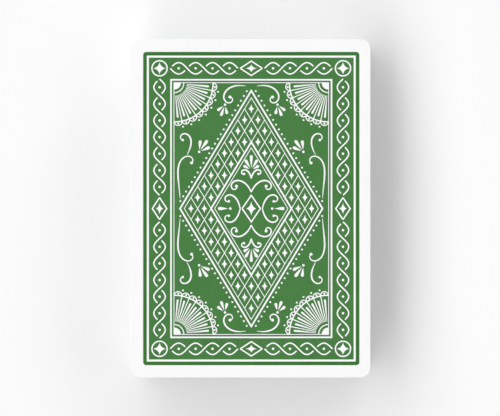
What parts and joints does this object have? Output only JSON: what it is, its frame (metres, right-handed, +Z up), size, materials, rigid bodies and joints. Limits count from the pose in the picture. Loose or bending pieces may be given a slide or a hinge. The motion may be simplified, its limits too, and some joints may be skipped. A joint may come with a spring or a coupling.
{
  "type": "playing card deck",
  "caption": "Squared face-down deck of round-cornered playing cards; it fans about a pinched corner, cuts sideways at its middle and deals its top card.",
  "frame": {"origin": "middle of the underside of the bottom card, on the surface the deck lies on", "axes": "+X to the right across the cards, +Y along the cards' long side, +Z up, towards the card backs"},
  "size_m": [0.0632, 0.0891, 0.0162],
  "materials": {
    "card_stock": "coated, satin"
  },
  "bodies": {
    "black_joker": {"black_joker": "card_stock"},
    "red_joker": {"red_joker": "card_stock"},
    "ace_of_spades": {"ace_of_spades": "card_stock"},
    "two_of_spades": {"two_of_spades": "card_stock"},
    "three_of_spades": {"three_of_spades": "card_stock"},
    "four_of_spades": {"four_of_spades": "card_stock"},
    "five_of_spades": {"five_of_spades": "card_stock"},
    "six_of_spades": {"six_of_spades": "card_stock"},
    "seven_of_spades": {"seven_of_spades": "card_stock"},
    "eight_of_spades": {"eight_of_spades": "card_stock"},
    "nine_of_spades": {"nine_of_spades": "card_stock"},
    "ten_of_spades": {"ten_of_spades": "card_stock"},
    "jack_of_spades": {"jack_of_spades": "card_stock"},
    "queen_of_spades": {"queen_of_spades": "card_stock"},
    "king_of_spades": {"king_of_spades": "card_stock"},
    "ace_of_diamonds": {"ace_of_diamonds": "card_stock"},
    "two_of_diamonds": {"two_of_diamonds": "card_stock"},
    "three_of_diamonds": {"three_of_diamonds": "card_stock"},
    "four_of_diamonds": {"four_of_diamonds": "card_stock"},
    "five_of_diamonds": {"five_of_diamonds": "card_stock"},
    "six_of_diamonds": {"six_of_diamonds": "card_stock"},
    "seven_of_diamonds": {"seven_of_diamonds": "card_stock"},
    "eight_of_diamonds": {"eight_of_diamonds": "card_stock"},
    "nine_of_diamonds": {"nine_of_diamonds": "card_stock"},
    "ten_of_diamonds": {"ten_of_diamonds": "card_stock"},
    "jack_of_diamonds": {"jack_of_diamonds": "card_stock"},
    "queen_of_diamonds": {"queen_of_diamonds": "card_stock"},
    "king_of_diamonds": {"king_of_diamonds": "card_stock"},
    "king_of_clubs": {"king_of_clubs": "card_stock"},
    "queen_of_clubs": {"queen_of_clubs": "card_stock"},
    "jack_of_clubs": {"jack_of_clubs": "card_stock"},
    "ten_of_clubs": {"ten_of_clubs": "card_stock"},
    "nine_of_clubs": {"nine_of_clubs": "card_stock"},
    "eight_of_clubs": {"eight_of_clubs": "card_stock"},
    "seven_of_clubs": {"seven_of_clubs": "card_stock"},
    "six_of_clubs": {"six_of_clubs": "card_stock"},
    "five_of_clubs": {"five_of_clubs": "card_stock"},
    "four_of_clubs": {"four_of_clubs": "card_stock"},
    "three_of_clubs": {"three_of_clubs": "card_stock"},
    "two_of_clubs": {"two_of_clubs": "card_stock"},
    "ace_of_clubs": {"ace_of_clubs": "card_stock"},
    "king_of_hearts": {"king_of_hearts": "card_stock"},
    "queen_of_hearts": {"queen_of_hearts": "card_stock"},
    "jack_of_hearts": {"jack_of_hearts": "card_stock"},
    "ten_of_hearts": {"ten_of_hearts": "card_stock"},
    "nine_of_hearts": {"nine_of_hearts": "card_stock"},
    "eight_of_hearts": {"eight_of_hearts": "card_stock"},
    "seven_of_hearts": {"seven_of_hearts": "card_stock"},
    "six_of_hearts": {"six_of_hearts": "card_stock"},
    "five_of_hearts": {"five_of_hearts": "card_stock"},
    "four_of_hearts": {"four_of_hearts": "card_stock"},
    "three_of_hearts": {"three_of_hearts": "card_stock"},
    "two_of_hearts": {"two_of_hearts": "card_stock"},
    "ace_of_hearts": {"ace_of_hearts": "card_stock"}
  },
  "joints": [
    {"name": "fan", "type": "hinge", "parent": "king_of_diamonds", "child": "black_joker", "pos_m": [-0.0289, -0.04185, 0.00014], "axis": [0, 0, -1], "range_deg": [0, 81]},
    {"name": "fan_red_joker", "type": "hinge", "parent": "king_of_diamonds", "child": "red_joker", "pos_m": [-0.02897, -0.04178, 0.00044], "axis": [0, 0, -1], "range_deg": [0, 78]},
    {"name": "fan_ace_of_spades", "type": "hinge", "parent": "king_of_diamonds", "child": "ace_of_spades", "pos_m": [-0.02889, -0.04195, 0.00074], "axis": [0, 0, -1], "range_deg": [0, 75]},
    {"name": "fan_two_of_spades", "type": "hinge", "parent": "king_of_diamonds", "child": "two_of_spades", "pos_m": [-0.02884, -0.04177, 0.00104], "axis": [0, 0, -1], "range_deg": [0, 72]},
    {"name": "fan_three_of_spades", "type": "hinge", "parent": "king_of_diamonds", "child": "three_of_spades", "pos_m": [-0.029, -0.04187, 0.00134], "axis": [0, 0, -1], "range_deg": [0, 69]},
    {"name": "fan_four_of_spades", "type": "hinge", "parent": "king_of_diamonds", "child": "four_of_spades", "pos_m": [-0.02882, -0.0419, 0.00164], "axis": [0, 0, -1], "range_deg": [0, 66]},
    {"name": "fan_five_of_spades", "type": "hinge", "parent": "king_of_diamonds", "child": "five_of_spades", "pos_m": [-0.02893, -0.04175, 0.00194], "axis": [0, 0, -1], "range_deg": [0, 63]},
    {"name": "fan_six_of_spades", "type": "hinge", "parent": "king_of_diamonds", "child": "six_of_spades", "pos_m": [-0.02895, -0.04194, 0.00224], "axis": [0, 0, -1], "range_deg": [0, 60]},
    {"name": "fan_seven_of_spades", "type": "hinge", "parent": "king_of_diamonds", "child": "seven_of_spades", "pos_m": [-0.02881, -0.04182, 0.00254], "axis": [0, 0, -1], "range_deg": [0, 57]},
    {"name": "fan_eight_of_spades", "type": "hinge", "parent": "king_of_diamonds", "child": "eight_of_spades", "pos_m": [-0.02899, -0.04181, 0.00284], "axis": [0, 0, -1], "range_deg": [0, 54]},
    {"name": "fan_nine_of_spades", "type": "hinge", "parent": "king_of_diamonds", "child": "nine_of_spades", "pos_m": [-0.02886, -0.04194, 0.00314], "axis": [0, 0, -1], "range_deg": [0, 51]},
    {"name": "fan_ten_of_spades", "type": "hinge", "parent": "king_of_diamonds", "child": "ten_of_spades", "pos_m": [-0.02887, -0.04175, 0.00344], "axis": [0, 0, -1], "range_deg": [0, 48]},
    {"name": "fan_jack_of_spades", "type": "hinge", "parent": "king_of_diamonds", "child": "jack_of_spades", "pos_m": [-0.02899, -0.0419, 0.00374], "axis": [0, 0, -1], "range_deg": [0, 45]},
    {"name": "fan_queen_of_spades", "type": "hinge", "parent": "king_of_diamonds", "child": "queen_of_spades", "pos_m": [-0.0288, -0.04187, 0.00404], "axis": [0, 0, -1], "range_deg": [0, 42]},
    {"name": "fan_king_of_spades", "type": "hinge", "parent": "king_of_diamonds", "child": "king_of_spades", "pos_m": [-0.02896, -0.04177, 0.00434], "axis": [0, 0, -1], "range_deg": [0, 39]},
    {"name": "fan_ace_of_diamonds", "type": "hinge", "parent": "king_of_diamonds", "child": "ace_of_diamonds", "pos_m": [-0.02891, -0.04195, 0.00464], "axis": [0, 0, -1], "range_deg": [0, 36]},
    {"name": "fan_two_of_diamonds", "type": "hinge", "parent": "king_of_diamonds", "child": "two_of_diamonds", "pos_m": [-0.02882, -0.04179, 0.00494], "axis": [0, 0, -1], "range_deg": [0, 33]},
    {"name": "fan_three_of_diamonds", "type": "hinge", "parent": "king_of_diamonds", "child": "three_of_diamonds", "pos_m": [-0.029, -0.04185, 0.00524], "axis": [0, 0, -1], "range_deg": [0, 30]},
    {"name": "fan_four_of_diamonds", "type": "hinge", "parent": "king_of_diamonds", "child": "four_of_diamonds", "pos_m": [-0.02883, -0.04192, 0.00554], "axis": [0, 0, -1], "range_deg": [0, 27]},
    {"name": "fan_five_of_diamonds", "type": "hinge", "parent": "king_of_diamonds", "child": "five_of_diamonds", "pos_m": [-0.0289, -0.04175, 0.00584], "axis": [0, 0, -1], "range_deg": [0, 24]},
    {"name": "fan_six_of_diamonds", "type": "hinge", "parent": "king_of_diamonds", "child": "six_of_diamonds", "pos_m": [-0.02896, -0.04193, 0.00614], "axis": [0, 0, -1], "range_deg": [0, 21]},
    {"name": "fan_seven_of_diamonds", "type": "hinge", "parent": "king_of_diamonds", "child": "seven_of_diamonds", "pos_m": [-0.0288, -0.04184, 0.00644], "axis": [0, 0, -1], "range_deg": [0, 18]},
    {"name": "fan_eight_of_diamonds", "type": "hinge", "parent": "king_of_diamonds", "child": "eight_of_diamonds", "pos_m": [-0.02898, -0.04179, 0.00674], "axis": [0, 0, -1], "range_deg": [0, 15]},
    {"name": "fan_nine_of_diamonds", "type": "hinge", "parent": "king_of_diamonds", "child": "nine_of_diamonds", "pos_m": [-0.02888, -0.04195, 0.00704], "axis": [0, 0, -1], "range_deg": [0, 12]},
    {"name": "fan_ten_of_diamonds", "type": "hinge", "parent": "king_of_diamonds", "child": "ten_of_diamonds", "pos_m": [-0.02885, -0.04176, 0.00734], "axis": [0, 0, -1], "range_deg": [0, 9]},
    {"name": "fan_jack_of_diamonds", "type": "hinge", "parent": "king_of_diamonds", "child": "jack_of_diamonds", "pos_m": [-0.029, -0.04188, 0.00764], "axis": [0, 0, -1], "range_deg": [0, 6]},
    {"name": "fan_queen_of_diamonds", "type": "hinge", "parent": "king_of_diamonds", "child": "queen_of_diamonds", "pos_m": [-0.02881, -0.04189, 0.00794], "axis": [0, 0, -1], "range_deg": [0, 3]},
    {"name": "cut", "type": "slide", "parent": "king_of_diamonds", "child": "king_of_clubs", "axis": [-1, 0, 0], "range_m": [0, 0.03]},
    {"name": "fan_queen_of_clubs", "type": "hinge", "parent": "king_of_clubs", "child": "queen_of_clubs", "pos_m": [-0.02881, -0.0418, 0.00884], "axis": [0, 0, 1], "range_deg": [0, 3]},
    {"name": "fan_jack_of_clubs", "type": "hinge", "parent": "king_of_clubs", "child": "jack_of_clubs", "pos_m": [-0.029, -0.04182, 0.00914], "axis": [0, 0, 1], "range_deg": [0, 6]},
    {"name": "fan_ten_of_clubs", "type": "hinge", "parent": "king_of_clubs", "child": "ten_of_clubs", "pos_m": [-0.02885, -0.04193, 0.00944], "axis": [0, 0, 1], "range_deg": [0, 9]},
    {"name": "fan_nine_of_clubs", "type": "hinge", "parent": "king_of_clubs", "child": "nine_of_clubs", "pos_m": [-0.02888, -0.04175, 0.00974], "axis": [0, 0, 1], "range_deg": [0, 12]},
    {"name": "fan_eight_of_clubs", "type": "hinge", "parent": "king_of_clubs", "child": "eight_of_clubs", "pos_m": [-0.02898, -0.04191, 0.01004], "axis": [0, 0, 1], "range_deg": [0, 15]},
    {"name": "fan_seven_of_clubs", "type": "hinge", "parent": "king_of_clubs", "child": "seven_of_clubs", "pos_m": [-0.0288, -0.04186, 0.01034], "axis": [0, 0, 1], "range_deg": [0, 18]},
    {"name": "fan_six_of_clubs", "type": "hinge", "parent": "king_of_clubs", "child": "six_of_clubs", "pos_m": [-0.02897, -0.04178, 0.01064], "axis": [0, 0, 1], "range_deg": [0, 21]},
    {"name": "fan_five_of_clubs", "type": "hinge", "parent": "king_of_clubs", "child": "five_of_clubs", "pos_m": [-0.0289, -0.04195, 0.01094], "axis": [0, 0, 1], "range_deg": [0, 24]},
    {"name": "fan_four_of_clubs", "type": "hinge", "parent": "king_of_clubs", "child": "four_of_clubs", "pos_m": [-0.02883, -0.04178, 0.01124], "axis": [0, 0, 1], "range_deg": [0, 27]},
    {"name": "fan_three_of_clubs", "type": "hinge", "parent": "king_of_clubs", "child": "three_of_clubs", "pos_m": [-0.029, -0.04186, 0.01154], "axis": [0, 0, 1], "range_deg": [0, 30]},
    {"name": "fan_two_of_clubs", "type": "hinge", "parent": "king_of_clubs", "child": "two_of_clubs", "pos_m": [-0.02882, -0.04191, 0.01184], "axis": [0, 0, 1], "range_deg": [0, 33]},
    {"name": "fan_ace_of_clubs", "type": "hinge", "parent": "king_of_clubs", "child": "ace_of_clubs", "pos_m": [-0.02892, -0.04175, 0.01214], "axis": [0, 0, 1], "range_deg": [0, 36]},
    {"name": "fan_king_of_hearts", "type": "hinge", "parent": "king_of_clubs", "child": "king_of_hearts", "pos_m": [-0.02895, -0.04193, 0.01244], "axis": [0, 0, 1], "range_deg": [0, 39]},
    {"name": "fan_queen_of_hearts", "type": "hinge", "parent": "king_of_clubs", "child": "queen_of_hearts", "pos_m": [-0.0288, -0.04182, 0.01274], "axis": [0, 0, 1], "range_deg": [0, 42]},
    {"name": "fan_jack_of_hearts", "type": "hinge", "parent": "king_of_clubs", "child": "jack_of_hearts", "pos_m": [-0.02899, -0.0418, 0.01304], "axis": [0, 0, 1], "range_deg": [0, 45]},
    {"name": "fan_ten_of_hearts", "type": "hinge", "parent": "king_of_clubs", "child": "ten_of_hearts", "pos_m": [-0.02887, -0.04194, 0.01334], "axis": [0, 0, 1], "range_deg": [0, 48]},
    {"name": "fan_nine_of_hearts", "type": "hinge", "parent": "king_of_clubs", "child": "nine_of_hearts", "pos_m": [-0.02886, -0.04176, 0.01364], "axis": [0, 0, 1], "range_deg": [0, 51]},
    {"name": "fan_eight_of_hearts", "type": "hinge", "parent": "king_of_clubs", "child": "eight_of_hearts", "pos_m": [-0.02899, -0.04189, 0.01394], "axis": [0, 0, 1], "range_deg": [0, 54]},
    {"name": "fan_seven_of_hearts", "type": "hinge", "parent": "king_of_clubs", "child": "seven_of_hearts", "pos_m": [-0.0288, -0.04188, 0.01424], "axis": [0, 0, 1], "range_deg": [0, 57]},
    {"name": "fan_six_of_hearts", "type": "hinge", "parent": "king_of_clubs", "child": "six_of_hearts", "pos_m": [-0.02895, -0.04176, 0.01454], "axis": [0, 0, 1], "range_deg": [0, 60]},
    {"name": "fan_five_of_hearts", "type": "hinge", "parent": "king_of_clubs", "child": "five_of_hearts", "pos_m": [-0.02892, -0.04195, 0.01484], "axis": [0, 0, 1], "range_deg": [0, 63]},
    {"name": "fan_four_of_hearts", "type": "hinge", "parent": "king_of_clubs", "child": "four_of_hearts", "pos_m": [-0.02882, -0.04179, 0.01514], "axis": [0, 0, 1], "range_deg": [0, 66]},
    {"name": "fan_three_of_hearts", "type": "hinge", "parent": "king_of_clubs", "child": "three_of_hearts", "pos_m": [-0.029, -0.04184, 0.01544], "axis": [0, 0, 1], "range_deg": [0, 69]},
    {"name": "fan_two_of_hearts", "type": "hinge", "parent": "king_of_clubs", "child": "two_of_hearts", "pos_m": [-0.02884, -0.04193, 0.01574], "axis": [0, 0, 1], "range_deg": [0, 72]},
    {"name": "deal", "type": "slide", "parent": "two_of_hearts", "child": "ace_of_hearts", "axis": [1, 0, 0], "range_m": [0, 0.065]}
  ],
  "couplings": [
    {"joint": "fan_red_joker", "follows": "fan", "ratio": 0.96296},
    {"joint": "fan_ace_of_spades", "follows": "fan", "ratio": 0.92593},
    {"joint": "fan_two_of_spades", "follows": "fan", "ratio": 0.88889},
    {"joint": "fan_three_of_spades", "follows": "fan", "ratio": 0.85185},
    {"joint": "fan_four_of_spades", "follows": "fan", "ratio": 0.81481},
    {"joint": "fan_five_of_spades", "follows": "fan", "ratio": 0.77778},
    {"joint": "fan_six_of_spades", "follows": "fan", "ratio": 0.74074},
    {"joint": "fan_seven_of_spades", "follows": "fan", "ratio": 0.7037},
    {"joint": "fan_eight_of_spades", "follows": "fan", "ratio": 0.66667},
    {"joint": "fan_nine_of_spades", "follows": "fan", "ratio": 0.62963},
    {"joint": "fan_ten_of_spades", "follows": "fan", "ratio": 0.59259},
    {"joint": "fan_jack_of_spades", "follows": "fan", "ratio": 0.55556},
    {"joint": "fan_queen_of_spades", "follows": "fan", "ratio": 0.51852},
    {"joint": "fan_king_of_spades", "follows": "fan", "ratio": 0.48148},
    {"joint": "fan_ace_of_diamonds", "follows": "fan", "ratio": 0.44444},
    {"joint": "fan_two_of_diamonds", "follows": "fan", "ratio": 0.40741},
    {"joint": "fan_three_of_diamonds", "follows": "fan", "ratio": 0.37037},
    {"joint": "fan_four_of_diamonds", "follows": "fan", "ratio": 0.33333},
    {"joint": "fan_five_of_diamonds", "follows": "fan", "ratio": 0.2963},
    {"joint": "fan_six_of_diamonds", "follows": "fan", "ratio": 0.25926},
    {"joint": "fan_seven_of_diamonds", "follows": "fan", "ratio": 0.22222},
    {"joint": "fan_eight_of_diamonds", "follows": "fan", "ratio": 0.18519},
    {"joint": "fan_nine_of_diamonds", "follows": "fan", "ratio": 0.14815},
    {"joint": "fan_ten_of_diamonds", "follows": "fan", "ratio": 0.11111},
    {"joint": "fan_jack_of_diamonds", "follows": "fan", "ratio": 0.074074},
    {"joint": "fan_queen_of_diamonds", "follows": "fan", "ratio": 0.037037},
    {"joint": "fan_queen_of_clubs", "follows": "fan", "ratio": 0.037037},
    {"joint": "fan_jack_of_clubs", "follows": "fan", "ratio": 0.074074},
    {"joint": "fan_ten_of_clubs", "follows": "fan", "ratio": 0.11111},
    {"joint": "fan_nine_of_clubs", "follows": "fan", "ratio": 0.14815},
    {"joint": "fan_eight_of_clubs", "follows": "fan", "ratio": 0.18519},
    {"joint": "fan_seven_of_clubs", "follows": "fan", "ratio": 0.22222},
    {"joint": "fan_six_of_clubs", "follows": "fan", "ratio": 0.25926},
    {"joint": "fan_five_of_clubs", "follows": "fan", "ratio": 0.2963},
    {"joint": "fan_four_of_clubs", "follows": "fan", "ratio": 0.33333},
    {"joint": "fan_three_of_clubs", "follows": "fan", "ratio": 0.37037},
    {"joint": "fan_two_of_clubs", "follows": "fan", "ratio": 0.40741},
    {"joint": "fan_ace_of_clubs", "follows": "fan", "ratio": 0.44444},
    {"joint": "fan_king_of_hearts", "follows": "fan", "ratio": 0.48148},
    {"joint": "fan_queen_of_hearts", "follows": "fan", "ratio": 0.51852},
    {"joint": "fan_jack_of_hearts", "follows": "fan", "ratio": 0.55556},
    {"joint": "fan_ten_of_hearts", "follows": "fan", "ratio": 0.59259},
    {"joint": "fan_nine_of_hearts", "follows": "fan", "ratio": 0.62963},
    {"joint": "fan_eight_of_hearts", "follows": "fan", "ratio": 0.66667},
    {"joint": "fan_seven_of_hearts", "follows": "fan", "ratio": 0.7037},
    {"joint": "fan_six_of_hearts", "follows": "fan", "ratio": 0.74074},
    {"joint": "fan_five_of_hearts", "follows": "fan", "ratio": 0.77778},
    {"joint": "fan_four_of_hearts", "follows": "fan", "ratio": 0.81481},
    {"joint": "fan_three_of_hearts", "follows": "fan", "ratio": 0.85185},
    {"joint": "fan_two_of_hearts", "follows": "fan", "ratio": 0.88889}
  ]
}
